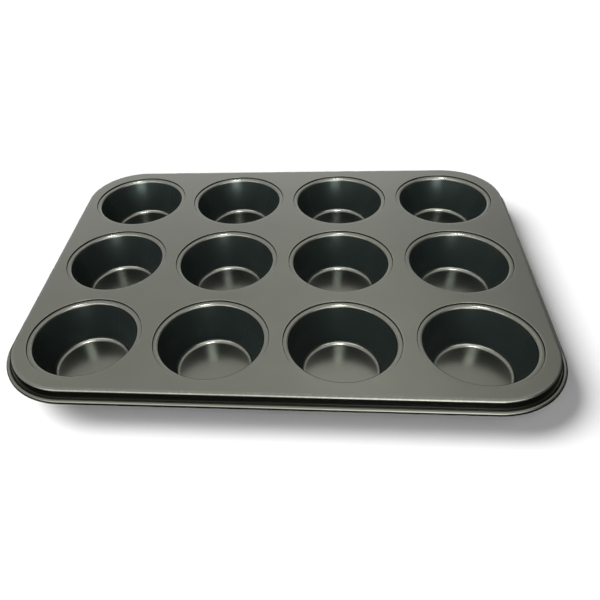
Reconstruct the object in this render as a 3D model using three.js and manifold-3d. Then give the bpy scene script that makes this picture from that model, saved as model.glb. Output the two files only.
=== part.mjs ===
// A twelve-cup muffin tin, as an assembly of sheet-metal pieces: a pressed frame plate whose
// edge is turned down and curled round a steel wire, and twelve drawn cups that drop onto
// stepped seats in the plate and are held there by a folded lock bead under each seat.
// Millimetres, +Z up. The tin stands on its cup floors and is centred on the origin.
import * as THREE from 'three';
import { mergeVertices } from 'three/addons/utils/BufferGeometryUtils.js';
import Module from 'manifold-3d';

const wasm = await Module();
wasm.setup();

// Frame plate
const plateLength = 350; // along X, to where an upright skirt would stand
const plateWidth = 266; // along Y, likewise
const cornerRadius = 44; // of that outline, seen from above
const plateSheet = 0.6; // thickness of the frame plate
const edgeRadius = 2.2; // where the deck turns down into the skirt
const skirtLean = 13; // degrees that the skirt slopes outwards
const rimDrop = 7.6; // deck top down to the middle of the rim wire

// Cups
const columns = 4; // cups along X
const rowNames = ['front', 'middle', 'back']; // rows of cups along Y
const endBorder = 47.5; // skirt to the middle of the first and last column
const sideBorder = 48; // skirt to the middle of the first and last row
const cupSheet = 0.6; // thickness of the cups
const cupDepth = 28.6; // deck top down to the cup floor
const mouthRadius = 34.8; // inside the cup, where wall and flange would meet
const floorRadius = 26; // inside the cup, where wall and floor would meet
const floorFillet = 3; // inside radius between wall and floor
const lipRadius = 2; // rounding between flange and wall
const flangeWidth = 1.5; // flat ring outside the lip
const flangeDrop = 0.9; // flange top below the deck top
const lockOverlap = 1.2; // how far the lock bead reaches under the seat

// Rim wire and fits
const wireRadius = 0.7; // steel wire inside the curled rim
const wireGap = 3; // butt gap between the wire's two ends
const fit = 0.3; // clearance between neighbouring pieces

// Facets
const cupSegments = 20;
const cornerSegments = 6;
const filletSteps = 2;
const edgeSteps = 3;
const curlSteps = 10;
const wireSides = 8;

// Heights above the surface that the tin stands on
const floorTop = cupSheet;
const deckTop = floorTop + cupDepth;
const flangeTop = deckTop - flangeDrop;
const seatTop = flangeTop - cupSheet - fit;
const seatBottom = seatTop - plateSheet;
const wireHeight = deckTop - rimDrop;

// Radii round each cup
const draft = Math.atan((mouthRadius - floorRadius) / (flangeTop - floorTop));
const neckRadius = mouthRadius + lipRadius * Math.tan(Math.PI / 4 - draft / 2);
const flangeRadius = neckRadius + flangeWidth;
const recessRadius = flangeRadius + fit;

// Skirt and curl. Reaches are measured outwards from where an upright skirt would stand.
const lean = (skirtLean * Math.PI) / 180;
const skirtTop = deckTop - edgeRadius * (1 - Math.sin(lean));
const skirtTopReach = -edgeRadius * (1 - Math.cos(lean));
const curlInner = wireRadius + fit;
const curlOuter = curlInner + plateSheet;
const curlBeyondSkirt = (curlInner + (skirtTop - wireHeight) * Math.sin(lean)) / Math.cos(lean);
const wireReach = skirtTopReach + curlBeyondSkirt;
const curlStart = Math.PI + lean;
const curlEnd = 2 * Math.PI + lean + Math.acos((fit - curlInner) / curlOuter);

const point = (x, y) => new THREE.Vector2(x, y);

// Points of an arc, both ends included.
function arc(centre, radius, from, to, steps) {
  const points = [];
  for (let i = 0; i <= steps; i += 1) {
    const angle = from + ((to - from) * i) / steps;
    points.push(point(centre.x + radius * Math.cos(angle), centre.y + radius * Math.sin(angle)));
  }
  return points;
}

// The corner of an outline, rounded to a radius, between the points before and after it.
function rounded(before, corner, after, radius) {
  const back = before.clone().sub(corner).normalize();
  const ahead = after.clone().sub(corner).normalize();
  const half = Math.acos(back.dot(ahead)) / 2;
  const middle = back.clone().add(ahead).normalize();
  const centre = corner.clone().addScaledVector(middle, radius / Math.sin(half));
  const start = corner.clone().addScaledVector(back, radius / Math.tan(half)).sub(centre);
  const turn = Math.sign(-back.cross(ahead)) * (Math.PI - 2 * half);
  return arc(centre, radius, start.angle(), start.angle() + turn, filletSteps);
}

// A section turned round the Z axis.
function turned(section, segments) {
  return new THREE.LatheGeometry(section, segments).rotateX(Math.PI / 2);
}

// A closed section carried round a rounded rectangle: a turned ring whose four quarters are
// moved out to the corners. The section's x is its distance outwards from the rectangle.
function carried(section, length, width, radius) {
  const corners = 4;
  const perCorner = cornerSegments + 1;
  const ring = section.map((p) => point(p.x + radius, p.y));
  const geometry = new THREE.LatheGeometry(ring, corners * perCorner);
  const position = geometry.attributes.position;
  for (let i = 0; i < position.count; i += 1) {
    const column = Math.floor(i / ring.length) % (corners * perCorner);
    const corner = Math.floor(column / perCorner);
    const angle = ((corner + (column % perCorner) / cornerSegments) * Math.PI) / 2;
    const middle = (corner + 0.5) * (Math.PI / 2);
    const { x: reach, y: height } = ring[i % ring.length];
    const x = Math.sign(Math.cos(middle)) * (length / 2 - radius) + reach * Math.cos(angle);
    const y = Math.sign(Math.sin(middle)) * (width / 2 - radius) + reach * Math.sin(angle);
    position.setXYZ(i, x, y, height);
  }
  return geometry;
}

function toSolid(geometry) {
  const bare = geometry.clone();
  bare.deleteAttribute('normal');
  bare.deleteAttribute('uv');
  const merged = mergeVertices(bare);
  return new wasm.Manifold(new wasm.Mesh({
    numProp: 3,
    vertProperties: Float32Array.from(merged.attributes.position.array),
    triVerts: Uint32Array.from(merged.index.array),
  }));
}

function toGeometry(solid) {
  const { vertProperties, triVerts } = solid.getMesh();
  const geometry = new THREE.BufferGeometry();
  geometry.setAttribute('position', new THREE.BufferAttribute(vertProperties, 3));
  geometry.setIndex(new THREE.BufferAttribute(triVerts, 1));
  geometry.computeVertexNormals();
  return geometry;
}

function roundedRectangle(length, width, radius) {
  const points = [];
  for (let corner = 0; corner < 4; corner += 1) {
    const middle = (corner + 0.5) * (Math.PI / 2);
    const centre = point(
      Math.sign(Math.cos(middle)) * (length / 2 - radius),
      Math.sign(Math.sin(middle)) * (width / 2 - radius),
    );
    const from = (corner * Math.PI) / 2;
    points.push(...arc(centre, radius, from, from + Math.PI / 2, cornerSegments));
  }
  return points;
}

// Where the cups stand, row by row from the front and from left to right.
function cupPlaces() {
  const columnPitch = (plateLength - 2 * endBorder) / (columns - 1);
  const rowPitch = (plateWidth - 2 * sideBorder) / (rowNames.length - 1);
  return rowNames.flatMap((name, row) => Array.from({ length: columns }, (_, column) => ({
    name: `cup_${name}_${column + 1}`,
    x: (column - (columns - 1) / 2) * columnPitch,
    y: (row - (rowNames.length - 1) / 2) * rowPitch,
  })));
}

// The deck: a flat sheet with a round recess cut for each cup.
function deck(inset) {
  const outline = roundedRectangle(
    plateLength - 2 * inset,
    plateWidth - 2 * inset,
    cornerRadius - inset,
  );
  const shape = new THREE.Shape(outline);
  for (const { x, y } of cupPlaces()) {
    const circle = arc(point(x, y), recessRadius, 0, 2 * Math.PI, cupSegments);
    shape.holes.push(new THREE.Path(circle.slice(0, -1)));
  }
  const sheet = new THREE.ExtrudeGeometry(shape, { depth: plateSheet, bevelEnabled: false });
  return sheet.translate(0, 0, deckTop - plateSheet);
}

// The stepped seat under a recess: a short riser and a flat ring that the cup flange lies on.
function seat() {
  const riserTop = deckTop - plateSheet / 2;
  const outer = recessRadius + plateSheet;
  return turned([
    point(neckRadius, seatBottom),
    point(outer, seatBottom),
    point(outer, riserTop),
    point(recessRadius, riserTop),
    point(recessRadius, seatTop),
    point(neckRadius, seatTop),
    point(neckRadius, seatBottom),
  ], cupSegments);
}

// The plate's edge: the deck turned down into the skirt, then curled outwards round the wire.
function edgeSection(reach) {
  const bend = point(-edgeRadius, deckTop - edgeRadius);
  const wire = point(wireReach, wireHeight);
  const section = [
    point(-reach, deckTop - plateSheet),
    ...arc(bend, edgeRadius - plateSheet, Math.PI / 2, lean, edgeSteps),
    ...arc(wire, curlOuter, curlStart, curlEnd, curlSteps),
    ...arc(wire, curlInner, curlEnd, curlStart, curlSteps),
    ...arc(bend, edgeRadius, lean, Math.PI / 2, edgeSteps),
    point(-reach, deckTop),
  ];
  return [...section, section[0]];
}

function framePlate() {
  const overlap = 2;
  const inset = edgeRadius + 1;
  const edge = carried(edgeSection(inset + overlap), plateLength, plateWidth, cornerRadius);
  let solid = toSolid(deck(inset)).add(toSolid(edge));
  const seatSolid = toSolid(seat());
  for (const { x, y } of cupPlaces()) {
    solid = solid.add(seatSolid.translate([x, y, 0]));
  }
  return toGeometry(solid);
}

// A drawn cup: floor, tapered wall, folded lock bead, rounded lip and flat flange.
function cup() {
  const wallShift = (cupSheet * (1 - Math.sin(draft))) / Math.cos(draft);
  const lockTop = seatBottom - fit;
  const lockBottom = lockTop - 2 * cupSheet;
  const lockRadius = neckRadius + lockOverlap;
  const underFloor = point(floorRadius + wallShift, floorTop - cupSheet);
  const underLip = point(mouthRadius + wallShift, flangeTop - cupSheet);
  const wallAt = (height) => {
    const share = (height - underFloor.y) / (underLip.y - underFloor.y);
    return point(underFloor.x + share * (underLip.x - underFloor.x), height);
  };
  const floor = point(floorRadius, floorTop);
  const mouth = point(mouthRadius, flangeTop);
  const underAxis = point(0, floorTop - cupSheet);
  const axis = point(0, floorTop);
  const flangeUnder = point(flangeRadius, flangeTop - cupSheet);
  const flange = point(flangeRadius, flangeTop);
  return turned([
    underAxis,
    ...rounded(underAxis, underFloor, underLip, floorFillet + cupSheet),
    wallAt(lockBottom),
    point(lockRadius, lockBottom),
    point(lockRadius, lockTop),
    wallAt(lockTop),
    ...rounded(underFloor, underLip, flangeUnder, lipRadius - cupSheet),
    flangeUnder,
    flange,
    ...rounded(flange, mouth, floor, lipRadius),
    ...rounded(mouth, floor, axis, floorFillet),
    axis,
  ], cupSegments);
}

// The rim wire: one length bent to the rim's outline, its ends butting at the middle of the back.
function rimWire() {
  const wire = point(wireReach, wireHeight);
  const section = arc(wire, wireRadius, 0, 2 * Math.PI, wireSides);
  const loop = toSolid(carried(section, plateLength, plateWidth, cornerRadius));
  const cut = new THREE.BoxGeometry(wireGap, 4 * wireRadius, 4 * wireRadius);
  cut.translate(0, plateWidth / 2 + wireReach, wireHeight);
  return toGeometry(loop.subtract(toSolid(cut)));
}

const coatedSteel = (colour) => new THREE.MeshStandardMaterial({
  color: colour,
  roughness: 0.38,
  metalness: 0.6,
});
const plainSteel = new THREE.MeshStandardMaterial({
  color: 0xa9abad,
  roughness: 0.3,
  metalness: 0.95,
});

function piece(name, geometry, material) {
  const mesh = new THREE.Mesh(geometry, material);
  mesh.name = name;
  return mesh;
}

const tin = new THREE.Group();
tin.add(piece('frame_plate', framePlate(), coatedSteel(0x55574f)));
const cupGeometry = cup();
for (const { name, x, y } of cupPlaces()) {
  const mesh = piece(name, cupGeometry, coatedSteel(0x4a4d49));
  mesh.position.set(x, y, 0);
  tin.add(mesh);
}
tin.add(piece('rim_wire', rimWire(), plainSteel));

export default tin;
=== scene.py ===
import math

import bmesh
import bpy
from mathutils import Matrix, Vector


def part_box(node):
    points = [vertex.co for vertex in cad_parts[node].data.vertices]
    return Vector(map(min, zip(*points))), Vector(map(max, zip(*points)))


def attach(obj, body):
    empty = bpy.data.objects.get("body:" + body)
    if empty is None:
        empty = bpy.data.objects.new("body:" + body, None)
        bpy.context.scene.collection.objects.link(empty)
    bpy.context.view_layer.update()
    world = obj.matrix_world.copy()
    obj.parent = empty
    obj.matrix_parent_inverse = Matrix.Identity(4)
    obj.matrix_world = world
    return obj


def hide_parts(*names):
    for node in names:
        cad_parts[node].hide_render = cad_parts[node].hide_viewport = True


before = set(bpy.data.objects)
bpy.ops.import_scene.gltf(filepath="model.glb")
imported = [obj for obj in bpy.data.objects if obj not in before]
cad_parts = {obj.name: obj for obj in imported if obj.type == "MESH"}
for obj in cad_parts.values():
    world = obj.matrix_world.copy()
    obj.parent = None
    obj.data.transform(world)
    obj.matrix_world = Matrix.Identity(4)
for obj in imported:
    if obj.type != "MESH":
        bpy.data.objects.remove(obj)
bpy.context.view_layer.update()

# Everything is in metres. MM turns a drawing's millimetres into metres.
MM = 0.001

# ---------------------------------------------------------------------------------------
# Sizes. What the frame knows is read from it, and the rest is the tin's drawing.
# ---------------------------------------------------------------------------------------
ROW_NAMES = ("front", "middle", "back")
COLUMNS = 4
CUP_NAMES = [f"cup_{row}_{column + 1}" for row in ROW_NAMES for column in range(COLUMNS)]

plate_low, plate_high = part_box("frame_plate")
wire_low, wire_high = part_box("rim_wire")
cup_low, cup_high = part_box(CUP_NAMES[0])

SHEET = 0.6 * MM
FIT = 0.3 * MM
DECK_TOP = plate_high.z
CORNER_RADIUS = 44 * MM
EDGE_RADIUS = 2.2 * MM

# The skirt leans outwards, and its reaches are measured from an upright one
LEAN = math.radians(13)
SKIRT_TOP = DECK_TOP - EDGE_RADIUS * (1 - math.sin(LEAN))
SKIRT_TOP_REACH = -EDGE_RADIUS * (1 - math.cos(LEAN))
WIRE_RADIUS = (wire_high.z - wire_low.z) / 2
WIRE_HEIGHT = (wire_high.z + wire_low.z) / 2
WIRE_GAP = 3 * MM
CURL_INNER = WIRE_RADIUS + FIT
CURL_OUTER = CURL_INNER + SHEET
CURL_BEYOND_SKIRT = (CURL_INNER + (SKIRT_TOP - WIRE_HEIGHT) * math.sin(LEAN)) / math.cos(LEAN)
WIRE_REACH = SKIRT_TOP_REACH + CURL_BEYOND_SKIRT
PLATE_LENGTH = plate_high.x - plate_low.x - 2 * (WIRE_REACH + CURL_OUTER)
PLATE_WIDTH = plate_high.y - plate_low.y - 2 * (WIRE_REACH + CURL_OUTER)

FLANGE_RADIUS = (cup_high.x - cup_low.x) / 2
FLANGE_TOP = cup_high.z
FLOOR_TOP = cup_low.z + SHEET
MOUTH_RADIUS = 34.8 * MM
FLOOR_RADIUS = 26 * MM
FLOOR_FILLET = 3 * MM
LIP_RADIUS = 2 * MM
LOCK_OVERLAP = 1.2 * MM
DRAFT = math.atan((MOUTH_RADIUS - FLOOR_RADIUS) / (FLANGE_TOP - FLOOR_TOP))
NECK_RADIUS = MOUTH_RADIUS + LIP_RADIUS * math.tan(math.pi / 4 - DRAFT / 2)
RECESS_RADIUS = FLANGE_RADIUS + FIT
SEAT_TOP = FLANGE_TOP - SHEET - FIT
SEAT_BOTTOM = SEAT_TOP - SHEET
FLAT_BESIDE_SEAT = 0.6 * MM
SEAT_LAND = RECESS_RADIUS + SHEET + FLAT_BESIDE_SEAT

# How finely the curved surfaces are divided
CUP_SIDES = 112
CORNER_STEPS = 28
FILLET_STEPS = 7
CURL_STEPS = 36
WIRE_SIDES = 20

# A flat stretch has an extra point this far from each bend beside it, which keeps its shading flat
HOLD = 0.3 * MM
# Points closer than MERGED are joined, and an edge within LEVEL of a height lies at it
MERGED = 0.002 * MM
LEVEL = 0.05 * MM
# Faces that meet at a larger angle than this are shaded with a sharp edge
SHARP = math.radians(38)


# ---------------------------------------------------------------------------------------
# Nodes
# ---------------------------------------------------------------------------------------
class Number:
    """A node's number output. Arithmetic on it, and the comparison <, add Math nodes."""

    def __init__(self, graph, socket):
        self.graph = graph
        self.socket = socket

    def math(self, operation, *others):
        inputs = dict(enumerate((self, *others)))
        return self.graph.number(self.graph.add("ShaderNodeMath", {"operation": operation}, inputs))

    def __add__(self, other):
        return self.math("ADD", other)

    __radd__ = __add__

    def __mul__(self, other):
        return self.math("MULTIPLY", other)

    __rmul__ = __mul__

    def __sub__(self, other):
        return self.math("SUBTRACT", other)

    def __rsub__(self, other):
        return self * -1 + other

    def __lt__(self, other):
        return self.math("LESS_THAN", other)

    def ramp(self, low, high):
        """0 up to low, 1 from high on, and a smooth rise between them."""
        settings = {"interpolation_type": "SMOOTHSTEP"}
        inputs = {"Value": self, "From Min": low, "From Max": high}
        return self.graph.number(self.graph.add("ShaderNodeMapRange", settings, inputs))


class Graph:
    """A node tree, to which nodes are added: a type, its settings, then its inputs."""

    def __init__(self, tree):
        self.tree = tree

    def add(self, kind, settings=None, inputs=None):
        node = self.tree.nodes.new(kind)
        for name, value in (settings or {}).items():
            setattr(node, name, value)
        for key, value in (inputs or {}).items():
            self.feed(node.inputs[key], value)
        return node

    def feed(self, socket, value):
        """Links a node, a socket or a Number to the socket, or sets a plain value on it."""
        if isinstance(value, Number):
            value = value.socket
        if isinstance(value, bpy.types.Node):
            value = value.outputs[0]
        if isinstance(value, bpy.types.NodeSocket):
            self.tree.links.new(value, socket)
        else:
            socket.default_value = value

    def number(self, node, output=0):
        """A node's output as a Number."""
        return Number(self, node.outputs[output])


# ---------------------------------------------------------------------------------------
# Sections: outlines of the sheet, as corners (x, height, fillet radius)
# ---------------------------------------------------------------------------------------
def arc(centre_x, centre_y, radius, start, end, steps):
    """Corner points round an arc, both ends included."""
    points = []
    for i in range(steps + 1):
        angle = start + (end - start) * i / steps
        points.append((centre_x + radius * math.cos(angle), centre_y + radius * math.sin(angle), 0))
    return points


def setback(before, corner, after):
    """How far a corner's fillet reaches along the two straight stretches beside it."""
    back = (Vector(before[:2]) - Vector(corner[:2])).normalized()
    ahead = (Vector(after[:2]) - Vector(corner[:2])).normalized()
    half = math.acos(max(-1, min(1, back.dot(ahead)))) / 2
    return corner[2] / math.tan(half)


def held(section):
    """The section with a point just outside each fillet, so that flats are shaded flat."""
    reach = [0] * len(section)
    for i in range(1, len(section) - 1):
        if section[i][2]:
            reach[i] = setback(*section[i - 1:i + 2])
    points = [section[0]]
    for i in range(1, len(section)):
        start, end = Vector(section[i - 1][:2]), Vector(section[i][:2])
        length = (end - start).length
        if length - reach[i - 1] - reach[i] > 3 * HOLD:
            along = (end - start) / length
            if reach[i - 1]:
                near = start + along * (reach[i - 1] + HOLD)
                points.append((near.x, near.y, 0))
            if reach[i]:
                far = end - along * (reach[i] + HOLD)
                points.append((far.x, far.y, 0))
        points.append(section[i])
    return points


def line_object(name, corners):
    """A line of edges through corners (x, y, z, fillet radius). Fillets also mark the edges."""
    mesh = bpy.data.meshes.new(name)
    edges = [(i, i + 1) for i in range(len(corners) - 1)]
    mesh.from_pydata([corner[:3] for corner in corners], edges, [])
    radii = [corner[3] for corner in corners]
    mesh.attributes.new("fillet", "FLOAT", "POINT").data.foreach_set("value", radii)
    exposed = [float(radius > 0) for radius in radii]
    mesh.attributes.new("exposed", "FLOAT", "POINT").data.foreach_set("value", exposed)
    line = bpy.data.objects.new(name, mesh)
    bpy.context.scene.collection.objects.link(line)
    return line


def section_object(name, section, path_radius=0.0):
    """A section for a sweep, which puts the line's x outwards from its path and its y downwards."""
    return line_object(name, [(x - path_radius, -z, 0, radius) for x, z, radius in section])


def cup_section():
    """A drawn cup, from under the floor's middle out, up, and down to the floor's middle."""
    shift = SHEET * (1 - math.sin(DRAFT)) / math.cos(DRAFT)
    under_floor = (FLOOR_RADIUS + shift, FLOOR_TOP - SHEET, FLOOR_FILLET + SHEET)
    under_lip = (MOUTH_RADIUS + shift, FLANGE_TOP - SHEET, LIP_RADIUS - SHEET)
    lock_radius = NECK_RADIUS + LOCK_OVERLAP
    lock_top = SEAT_BOTTOM - FIT
    lock_bottom = lock_top - 2 * SHEET
    fold = 0.45 * MM
    crease = 0.3 * MM
    edge = 0.12 * MM

    def wall(height, radius):
        """A corner on the wall's outside at a height."""
        share = (height - under_floor[1]) / (under_lip[1] - under_floor[1])
        return (under_floor[0] + share * (under_lip[0] - under_floor[0]), height, radius)

    return held([
        (0, FLOOR_TOP - SHEET, 0),
        under_floor,
        wall(lock_bottom, crease),
        (lock_radius, lock_bottom, fold),
        (lock_radius, lock_top, fold),
        wall(lock_top, 0),
        under_lip,
        (FLANGE_RADIUS, FLANGE_TOP - SHEET, edge),
        (FLANGE_RADIUS, FLANGE_TOP, edge),
        (MOUTH_RADIUS, FLANGE_TOP, LIP_RADIUS),
        (FLOOR_RADIUS, FLOOR_TOP, FLOOR_FILLET),
        (0, FLOOR_TOP, 0),
    ])


def seat_section():
    """The stepped seat: from the deck's top down the riser, round the bore and back below."""
    outer = RECESS_RADIUS + SHEET
    bend = 0.35 * MM
    inside_bend = 0.15 * MM
    return held([
        (SEAT_LAND, DECK_TOP, 0),
        (RECESS_RADIUS, DECK_TOP, bend),
        (RECESS_RADIUS, SEAT_TOP, inside_bend),
        (NECK_RADIUS, SEAT_TOP, 0),
        (NECK_RADIUS, SEAT_BOTTOM, 0),
        (outer, SEAT_BOTTOM, bend),
        (outer, DECK_TOP - SHEET, inside_bend),
        (SEAT_LAND, DECK_TOP - SHEET, 0),
    ])


def edge_section():
    """The plate's edge: the bend, the leaning skirt and the curl round the wire."""
    inner_end = -(EDGE_RADIUS + 2 * HOLD)
    curl_start = math.pi + LEAN
    curl_end = 2 * math.pi + LEAN + math.acos((FIT - CURL_INNER) / CURL_OUTER)
    centre = (WIRE_REACH, WIRE_HEIGHT)

    def bend(height, radius):
        """Where the deck's line at a height meets the skirt's, for a bend of that radius."""
        return (radius * (1 - math.sin(LEAN)) / math.cos(LEAN) - EDGE_RADIUS, height, radius)

    return held([
        (inner_end, DECK_TOP, 0),
        bend(DECK_TOP, EDGE_RADIUS),
        *arc(*centre, CURL_INNER, curl_start, curl_end, CURL_STEPS),
        *arc(*centre, CURL_OUTER, curl_end, curl_start, CURL_STEPS),
        bend(DECK_TOP - SHEET, EDGE_RADIUS - SHEET),
        (inner_end, DECK_TOP - SHEET, 0),
    ])


# ---------------------------------------------------------------------------------------
# Geometry node trees
# ---------------------------------------------------------------------------------------
def new_tree(name, inputs):
    """An empty geometry tree with the named inputs, and its group input's sockets."""
    tree = bpy.data.node_groups.new(name, "GeometryNodeTree")
    tree.interface.new_socket("Geometry", in_out="INPUT", socket_type="NodeSocketGeometry")
    for label, kind in inputs.items():
        tree.interface.new_socket(label, in_out="INPUT", socket_type=f"NodeSocket{kind}")
    tree.interface.new_socket("Geometry", in_out="OUTPUT", socket_type="NodeSocketGeometry")
    graph = Graph(tree)
    return graph, graph.add("NodeGroupInput").outputs


def filleted(graph, section, steps):
    """The section's line as a curve with its corners rounded."""
    name = {"Name": "fillet"}
    radius = graph.add("GeometryNodeInputNamedAttribute", {"data_type": "FLOAT"}, name)
    line = graph.add("GeometryNodeMeshToCurve", None, {0: section})
    inputs = {"Curve": line, "Count": steps, "Radius": radius}
    return graph.add("GeometryNodeFilletCurve", {"mode": "POLY"}, inputs)


def swept(graph, path, section):
    """The section carried along a level path."""
    upright = graph.add("GeometryNodeSetCurveNormal", {"mode": "Z_UP"}, {0: path})
    inputs = {"Curve": upright, "Profile Curve": section}
    return graph.add("GeometryNodeCurveToMesh", None, inputs)


def circle_path(graph, sides, radius):
    """A level circle as a curve."""
    inputs = {"Resolution": sides, "Radius": radius}
    return graph.add("GeometryNodeCurvePrimitiveCircle", {"mode": "RADIUS"}, inputs)


def rounded_path(graph, given):
    """A rounded rectangle as a curve."""
    sides = {"Width": given["Length"], "Height": given["Width"]}
    box = graph.add("GeometryNodeCurvePrimitiveQuadrilateral", {"mode": "RECTANGLE"}, sides)
    inputs = {"Curve": box, "Count": given["Corner Steps"], "Radius": given["Corner Radius"]}
    return graph.add("GeometryNodeFilletCurve", {"mode": "POLY"}, inputs)


def close_tree(graph, geometry, material):
    """Merges doubles, shades smooth, realises instances and sets the material."""
    merged = graph.add("GeometryNodeMergeByDistance", None, {0: geometry, "Distance": MERGED})
    smooth = graph.add("GeometryNodeSetShadeSmooth", None, {0: merged})
    real = graph.add("GeometryNodeRealizeInstances", None, {0: smooth})
    painted = graph.add("GeometryNodeSetMaterial", None, {0: real, "Material": material})
    graph.add("NodeGroupOutput", None, {0: painted})
    return graph.tree


def turned_section_tree():
    """A section turned round an upright axis that stands at Place."""
    graph, given = new_tree("turned_section", {
        "Place": "Vector", "Path Radius": "Float", "Sides": "Int", "Fillet Steps": "Int",
        "Material": "Material",
    })
    circle = circle_path(graph, given["Sides"], given["Path Radius"])
    section = filleted(graph, given["Geometry"], given["Fillet Steps"])
    kept = graph.add("GeometryNodeStoreNamedAttribute", {
        "data_type": "FLOAT_VECTOR", "domain": "POINT",
    }, {
        "Geometry": swept(graph, circle, section), "Name": "from_axis",
        "Value": graph.add("GeometryNodeInputPosition"),
    })
    inputs = {0: kept, "Translation": given["Place"]}
    return close_tree(graph, graph.add("GeometryNodeTransform", None, inputs), given["Material"])


def rim_wire_tree():
    """Round wire bent along a line, with closed ends."""
    graph, given = new_tree("rim_wire", {
        "Corner Steps": "Int", "Wire Radius": "Float", "Sides": "Int", "Material": "Material",
    })
    path = filleted(graph, given["Geometry"], given["Corner Steps"])
    round_section = circle_path(graph, given["Sides"], given["Wire Radius"])
    wire = swept(graph, path, round_section)
    wire.inputs["Fill Caps"].default_value = True
    return close_tree(graph, wire, given["Material"])


def open_edge_sheet(graph, skin, height):
    """Flat sheet that fills the plan between the skin's open edges at one height.

    An open edge has one face beside it, and any other edge has two.
    """
    neighbours = graph.number(graph.add("GeometryNodeInputMeshEdgeNeighbors"))
    place = graph.add("ShaderNodeSeparateXYZ", None, {0: graph.add("GeometryNodeInputPosition")})
    off = (graph.number(place, "Z") - height).math("ABSOLUTE")
    chosen = (neighbours < 2) * (off < LEVEL)
    loops = graph.add("GeometryNodeMeshToCurve", None, {"Mesh": skin, "Selection": chosen})
    sheet = graph.add("GeometryNodeFillCurve", {"mode": "TRIANGLES"}, {"Curve": loops})
    lift = graph.add("ShaderNodeCombineXYZ", None, {"Z": height})
    return graph.add("GeometryNodeSetPosition", None, {"Geometry": sheet, "Offset": lift})


def frame_plate_tree():
    """The frame plate: its carried edge, its grid of turned seats, and the deck between."""
    graph, given = new_tree("frame_plate", {
        "Seat Section": "Object", "Length": "Float", "Width": "Float",
        "Corner Radius": "Float", "Corner Steps": "Int", "Seat Path Radius": "Float",
        "Sides": "Int", "Columns": "Int", "Rows": "Int", "Pattern Length": "Float",
        "Pattern Width": "Float", "Fillet Steps": "Int", "Deck Top": "Float",
        "Sheet": "Float", "Material": "Material",
    })
    edge_line = filleted(graph, given["Geometry"], given["Fillet Steps"])
    edge = swept(graph, rounded_path(graph, given), edge_line)
    source = graph.add("GeometryNodeObjectInfo", None, {"Object": given["Seat Section"]})
    seat_line = filleted(graph, source.outputs["Geometry"], given["Fillet Steps"])
    seat = swept(graph, circle_path(graph, given["Sides"], given["Seat Path Radius"]), seat_line)
    pattern = graph.add("GeometryNodeMeshGrid", None, {
        "Size X": given["Pattern Length"], "Size Y": given["Pattern Width"],
        "Vertices X": given["Columns"], "Vertices Y": given["Rows"],
    })
    seats = graph.add("GeometryNodeInstanceOnPoints", None, {"Points": pattern, "Instance": seat})
    skin = graph.add("GeometryNodeJoinGeometry")
    for part in (edge, graph.add("GeometryNodeRealizeInstances", None, {0: seats})):
        graph.feed(skin.inputs[0], part)
    top = Number(graph, given["Deck Top"])
    faces = [skin, open_edge_sheet(graph, skin, top)]
    faces.append(open_edge_sheet(graph, skin, top - given["Sheet"]))
    whole = graph.add("GeometryNodeJoinGeometry")
    for part in faces:
        graph.feed(whole.inputs[0], part)
    return close_tree(graph, whole, given["Material"])


# ---------------------------------------------------------------------------------------
# Finishes
# ---------------------------------------------------------------------------------------
BLACK = (0.0, 0.0, 0.0, 1.0)
COATING = (0.0565, 0.058, 0.0485, 1.0)
WORN_COATING = (0.08, 0.082, 0.075, 1.0)
# Painted shade: the cups' upright walls get this darker, cooler colour in place of the dark
# reflections inside the cups
SHADED_WALL_COATING = (0.0195, 0.0265, 0.0245, 1.0)
COATING_ROUGHNESS = 0.22
GRAIN_DEPTH = 0.006 * MM
DARK_WIRE = (0.42, 0.43, 0.44, 1.0)
PALE_WIRE = (0.6, 0.61, 0.62, 1.0)

# The heights over which a cup's finish turns from floor to the painted wall shade, and from that to
# the lip
WALL_SHADE_STARTS = (1.8 * MM, 3.2 * MM)
WALL_SHADE_ENDS = (FLANGE_TOP - 2.6 * MM, FLANGE_TOP - 1.2 * MM)


def new_material(name):
    """A material with an empty node tree."""
    material = bpy.data.materials.new(name)
    material.use_nodes = True
    material.node_tree.nodes.clear()
    return material, Graph(material.node_tree)


def noise(graph, place, scale, detail=2.0, roughness=0.5):
    """Noise from 0 to 1, with about this many features to the metre."""
    inputs = {"Vector": place, "Scale": scale, "Detail": detail, "Roughness": roughness}
    return graph.number(graph.add("ShaderNodeTexNoise", {"noise_dimensions": "3D"}, inputs))


def blend_colours(graph, share, first, second):
    """The first colour at share 0, and the second at 1."""
    node = graph.add("ShaderNodeMix", {"data_type": "RGBA"}, {0: share, 6: first, 7: second})
    return node.outputs[2]


def attribute(graph, name):
    """A value that the piece's mesh carries."""
    return graph.add("ShaderNodeAttribute", {"attribute_type": "GEOMETRY", "attribute_name": name})


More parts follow.
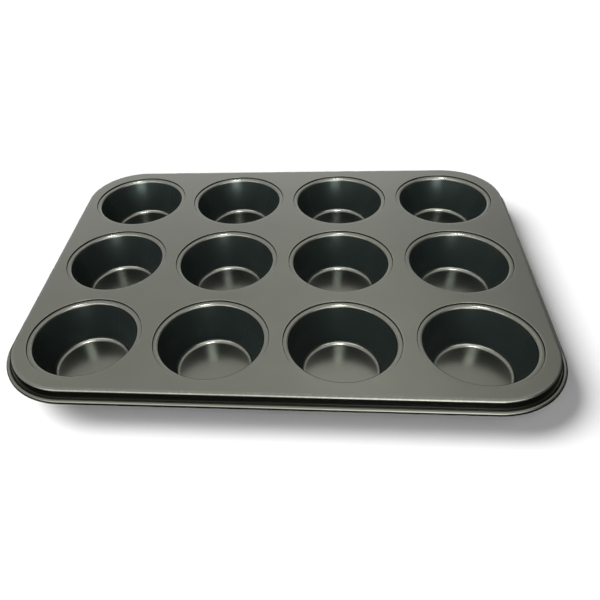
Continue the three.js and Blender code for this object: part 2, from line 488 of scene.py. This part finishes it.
def coated_steel(name, colour, worn_colour, roughness, shaded_wall_colour=None):
    """Dark non-stick coating on steel: fine grain, soft mottling and slightly worn bends.

    With a shaded wall colour, the upright walls are painted in it: painted shade, darker than the
    same coating on floors and lips. They are also less metallic than floors and lips.
    """
    material, graph = new_material(name)
    place = graph.add("ShaderNodeTexCoord").outputs["Object"]
    mottling = noise(graph, place, scale=38.0, detail=3.0)
    grain = noise(graph, place, scale=2600.0)
    scuffs = noise(graph, place, scale=420.0, detail=4.0, roughness=0.6)
    exposed = graph.number(attribute(graph, "exposed"), "Fac")
    light_wear, scuffed_wear = 0.15, 0.35
    wear = exposed * (light_wear + scuffed_wear * scuffs.ramp(0.45, 0.65))
    metallic = 1.0
    if shaded_wall_colour:
        dull = 0.38
        from_axis = attribute(graph, "from_axis").outputs["Vector"]
        height = graph.number(graph.add("ShaderNodeSeparateXYZ", None, {0: from_axis}), "Z")
        started = height.ramp(*WALL_SHADE_STARTS)
        ended = height.ramp(*WALL_SHADE_ENDS)
        # The walls get painted shade: the same coating, painted darker than on the floor and lip
        wall = started * (1 - ended)
        colour = blend_colours(graph, wall, colour, shaded_wall_colour)
        metallic = 1 - dull * wall
    mottled = blend_colours(graph, 0.14 * mottling, colour, BLACK)
    finish = blend_colours(graph, wear, mottled, worn_colour)
    gloss = roughness + 0.05 * (mottling - 0.5) + 0.04 * (grain - 0.5) - 0.04 * wear
    bump = graph.add("ShaderNodeBump", None, {
        "Strength": 0.2, "Distance": GRAIN_DEPTH, "Height": grain * 0.6 + scuffs * 0.4,
    })
    shader = graph.add("ShaderNodeBsdfPrincipled", None, {
        "Base Color": finish, "Metallic": metallic, "Roughness": gloss, "Normal": bump,
        "Specular IOR Level": 0.1,
    })
    graph.add("ShaderNodeOutputMaterial", None, {"Surface": shader})
    return material


def plain_steel(name):
    """Drawn steel wire: pale grey with a fine grain."""
    material, graph = new_material(name)
    place = graph.add("ShaderNodeTexCoord").outputs["Object"]
    grain = noise(graph, place, scale=900.0, detail=3.0)
    tone = blend_colours(graph, grain, DARK_WIRE, PALE_WIRE)
    shader = graph.add("ShaderNodeBsdfPrincipled", None, {
        "Base Color": tone, "Metallic": 1.0, "Roughness": 0.24 + 0.14 * grain,
    })
    graph.add("ShaderNodeOutputMaterial", None, {"Surface": shader})
    return material


plate_finish = coated_steel("coated_plate", COATING, WORN_COATING, COATING_ROUGHNESS)
cup_finish = coated_steel(
    "coated_cups_shaded_walls", COATING, WORN_COATING, COATING_ROUGHNESS, shaded_wall_colour=SHADED_WALL_COATING
)
wire_finish = plain_steel("drawn_wire")


# ---------------------------------------------------------------------------------------
# Pieces
# ---------------------------------------------------------------------------------------
def made_piece(name, line, tree, values, replaced):
    """Runs a tree on a line, and keeps the result as a plain mesh that rides on the tin."""
    form = line.modifiers.new("form", "NODES")
    form.node_group = tree
    for socket in tree.interface.items_tree:
        if socket.name in values:
            form[socket.identifier] = values[socket.name]
    evaluated = line.evaluated_get(bpy.context.evaluated_depsgraph_get())
    mesh = bpy.data.meshes.new_from_object(evaluated)
    line.modifiers.remove(form)
    bpy.data.objects.remove(line)
    mesh.name = name
    shell = bmesh.new()
    shell.from_mesh(mesh)
    bmesh.ops.recalc_face_normals(shell, faces=shell.faces)
    shell.to_mesh(mesh)
    shell.free()
    mesh.set_sharp_from_angle(angle=SHARP)
    piece = bpy.data.objects.new(name, mesh)
    bpy.context.scene.collection.objects.link(piece)
    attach(piece, "root")
    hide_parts(replaced)
    return piece


def make_frame_plate():
    """The plate, with a seat for each cup of the grid."""
    first, last = (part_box(name) for name in (CUP_NAMES[0], CUP_NAMES[-1]))
    seats = section_object("seat_section", seat_section(), RECESS_RADIUS)
    made_piece(
        "coated_frame_plate", section_object("edge_section", edge_section()),
        frame_plate_tree(), {
            "Seat Section": seats, "Length": PLATE_LENGTH, "Width": PLATE_WIDTH,
            "Corner Radius": CORNER_RADIUS, "Corner Steps": CORNER_STEPS,
            "Seat Path Radius": RECESS_RADIUS, "Sides": CUP_SIDES, "Columns": COLUMNS,
            "Rows": len(ROW_NAMES), "Pattern Length": last[0].x - first[0].x,
            "Pattern Width": last[0].y - first[0].y, "Fillet Steps": FILLET_STEPS,
            "Deck Top": DECK_TOP, "Sheet": SHEET, "Material": plate_finish,
        }, "frame_plate",
    )
    bpy.data.objects.remove(seats)


def make_cups():
    """Twelve cups, each turned round its own axis."""
    tree = turned_section_tree()
    cups = []
    for name in CUP_NAMES:
        low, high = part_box(name)
        middle = (low + high) / 2
        cups.append(made_piece(
            f"drawn_{name}", section_object("cup_section", cup_section(), MOUTH_RADIUS), tree, {
                "Place": (middle.x, middle.y, 0.0), "Path Radius": MOUTH_RADIUS,
                "Sides": CUP_SIDES, "Fillet Steps": FILLET_STEPS, "Material": cup_finish,
            }, name,
        ))
    return cups


def make_rim_wire():
    """One length of wire round the rim, its two ends facing each other at the middle of the back."""
    half_length = PLATE_LENGTH / 2 + WIRE_REACH
    half_width = PLATE_WIDTH / 2 + WIRE_REACH
    bend = CORNER_RADIUS + WIRE_REACH
    corners = [
        (-WIRE_GAP / 2, half_width, WIRE_HEIGHT, 0),
        (-half_length, half_width, WIRE_HEIGHT, bend),
        (-half_length, -half_width, WIRE_HEIGHT, bend),
        (half_length, -half_width, WIRE_HEIGHT, bend),
        (half_length, half_width, WIRE_HEIGHT, bend),
        (WIRE_GAP / 2, half_width, WIRE_HEIGHT, 0),
    ]
    made_piece("drawn_rim_wire", line_object("wire_line", corners), rim_wire_tree(), {
        "Corner Steps": CORNER_STEPS, "Wire Radius": WIRE_RADIUS, "Sides": WIRE_SIDES,
        "Material": wire_finish,
    }, "rim_wire")


make_frame_plate()
cups = make_cups()
make_rim_wire()


# ---------------------------------------------------------------------------------------
# Studio: camera, floor and light. Angles are in degrees.
# ---------------------------------------------------------------------------------------
CAMERA_PLACE = (0.0307, -0.3798, 0.3146)
CAMERA_TURN = 7.92
CAMERA_DOWN = 39.88
CAMERA_ROLL = -4.6
FLOOR_REACH = 4.0
FLOOR_HEIGHT = -0.2 * MM
SURROUND_RADIUS = 6.0


def make_camera():
    """A camera above the front edge, looking down and slightly to the left."""
    data = bpy.data.cameras.new("camera")
    data.lens = 38.24
    data.sensor_width = 36.0
    data.shift_x = 0.073
    data.shift_y = -0.008
    data.clip_start = 0.01
    data.clip_end = 60.0
    camera = bpy.data.objects.new("camera", data)
    turn = Matrix.Rotation(math.radians(CAMERA_TURN), 4, "Z")
    tilt = Matrix.Rotation(math.radians(90 - CAMERA_DOWN), 4, "X")
    roll = Matrix.Rotation(math.radians(CAMERA_ROLL), 4, "Z")
    camera.matrix_world = Matrix.Translation(CAMERA_PLACE) @ turn @ tilt @ roll
    bpy.context.scene.collection.objects.link(camera)
    bpy.context.scene.camera = camera


def stage_object(name, mesh, material):
    """A part of the studio, which reflections on the tin don't show."""
    mesh.materials.append(material)
    thing = bpy.data.objects.new(name, mesh)
    bpy.context.scene.collection.objects.link(thing)
    thing.visible_glossy = False
    return thing


def make_floor():
    """A plain pale floor, just under the tin."""
    material, graph = new_material("pale_floor")
    place = graph.add("ShaderNodeTexCoord").outputs["Object"]
    patches = noise(graph, place, scale=3.0)
    tone = blend_colours(graph, patches, (0.78, 0.78, 0.78, 1.0), (0.8, 0.8, 0.8, 1.0))
    shader = graph.add("ShaderNodeBsdfDiffuse", None, {"Color": tone})
    graph.add("ShaderNodeOutputMaterial", None, {"Surface": shader})
    mesh = bpy.data.meshes.new("floor")
    signs = ((-1, -1), (1, -1), (1, 1), (-1, 1))
    corners = [(x * FLOOR_REACH, y * FLOOR_REACH, FLOOR_HEIGHT) for x, y in signs]
    mesh.from_pydata(corners, [], [(0, 1, 2, 3)])
    stage_object("floor", mesh, material)


def make_surround():
    """A pale shell far outside the floor, seen but neither lighting nor shading anything."""
    material, graph = new_material("pale_surround")
    shader = graph.add("ShaderNodeEmission", None, {"Strength": 1.0})
    graph.add("ShaderNodeOutputMaterial", None, {"Surface": shader})
    mesh = bpy.data.meshes.new("surround")
    shell = bmesh.new()
    bmesh.ops.create_uvsphere(shell, u_segments=48, v_segments=24, radius=SURROUND_RADIUS)
    shell.to_mesh(mesh)
    shell.free()
    surround = stage_object("surround", mesh, material)
    surround.visible_diffuse = False
    surround.visible_shadow = False


def glow(graph, direction, azimuth, elevation, inner, outer, strength):
    """A soft round patch of light in the surroundings, centred on a direction.

    Azimuth 0 is +Y and 90 is +X. The patch is even up to inner, and gone at outer.
    """
    a, e = math.radians(azimuth), math.radians(elevation)
    aim = (math.sin(a) * math.cos(e), math.cos(a) * math.cos(e), math.sin(e))
    dot = graph.add("ShaderNodeVectorMath", {"operation": "DOT_PRODUCT"}, {0: direction, 1: aim})
    near = graph.number(dot, "Value")
    return near.ramp(math.cos(math.radians(outer)), math.cos(math.radians(inner))) * strength


def make_surroundings():
    """What the metal reflects: a room, a dark side, a window in front and a bright doorway.

    A direction's height is the sine of its elevation. Matt surfaces aren't lit by any of it.
    """
    world = bpy.data.worlds.new("studio")
    world.use_nodes = True
    world.node_tree.nodes.clear()
    graph = Graph(world.node_tree)
    direction = graph.add("ShaderNodeTexCoord").outputs["Generated"]
    parts = graph.add("ShaderNodeSeparateXYZ", None, {0: direction})
    height, ahead = graph.number(parts, "Z"), -1 * graph.number(parts, "Y")
    dim = glow(graph, direction, azimuth=32, elevation=36, inner=4, outer=26, strength=0.5)
    dim += glow(graph, direction, azimuth=-35, elevation=32, inner=4, outer=30, strength=0.12)
    dark_side = graph.number(parts, "X").ramp(0.5, 0.8) * 0.8
    wall_light, ceiling_light, window_light, least_light = 3.55, 0.65, 8.2, 0.03
    room = height.ramp(0.04, 0.24) * (wall_light + ceiling_light * height.ramp(0.5, 0.75))
    bright = glow(graph, direction, azimuth=14, elevation=46, inner=3, outer=14, strength=1.2)
    room = room * (1 - dim) * (1 - dark_side) + bright
    window = height.ramp(0.2, 0.42) * (1 - height.ramp(0.6, 0.9)) * ahead.ramp(0.3, 0.7)
    doorway = glow(graph, direction, azimuth=169, elevation=14, inner=6, outer=17, strength=15.0)
    light = room + window * window_light + doorway + least_light
    background = graph.add("ShaderNodeBackground", None, {"Strength": light})
    graph.add("ShaderNodeOutputWorld", None, {"Surface": background})
    bpy.context.scene.world = world
    world.cycles_visibility.diffuse = False
    bpy.context.scene.view_settings.view_transform = "Standard"


def make_sun(name, azimuth, elevation, spread, energy, lit=None):
    """A light from one direction, with the spread of its disc.

    With lit, it lights and is reflected by those pieces only. Without, it lights the floor
    and whatever else is matt, and no metal shows it.
    """
    data = bpy.data.lights.new(name, "SUN")
    data.energy = energy
    data.angle = math.radians(spread)
    sun = bpy.data.objects.new(name, data)
    a, e = math.radians(azimuth), math.radians(elevation)
    towards = Vector((math.sin(a) * math.cos(e), math.cos(a) * math.cos(e), math.sin(e)))
    sun.rotation_euler = towards.to_track_quat("Z", "Y").to_euler()
    sun.visible_glossy = bool(lit)
    if lit:
        pieces = bpy.data.collections.new(f"{name}_pieces")
        for piece in lit:
            pieces.objects.link(piece)
        sun.light_linking.receiver_collection = pieces
    bpy.context.scene.collection.objects.link(sun)


make_camera()
make_floor()
make_surround()
make_surroundings()
make_sun("key", azimuth=-88, elevation=46, spread=36, energy=4.5)
make_sun("fill", azimuth=180, elevation=28, spread=80, energy=2.3)
make_sun("lamp", azimuth=165, elevation=78, spread=10, energy=3.4, lit=cups)
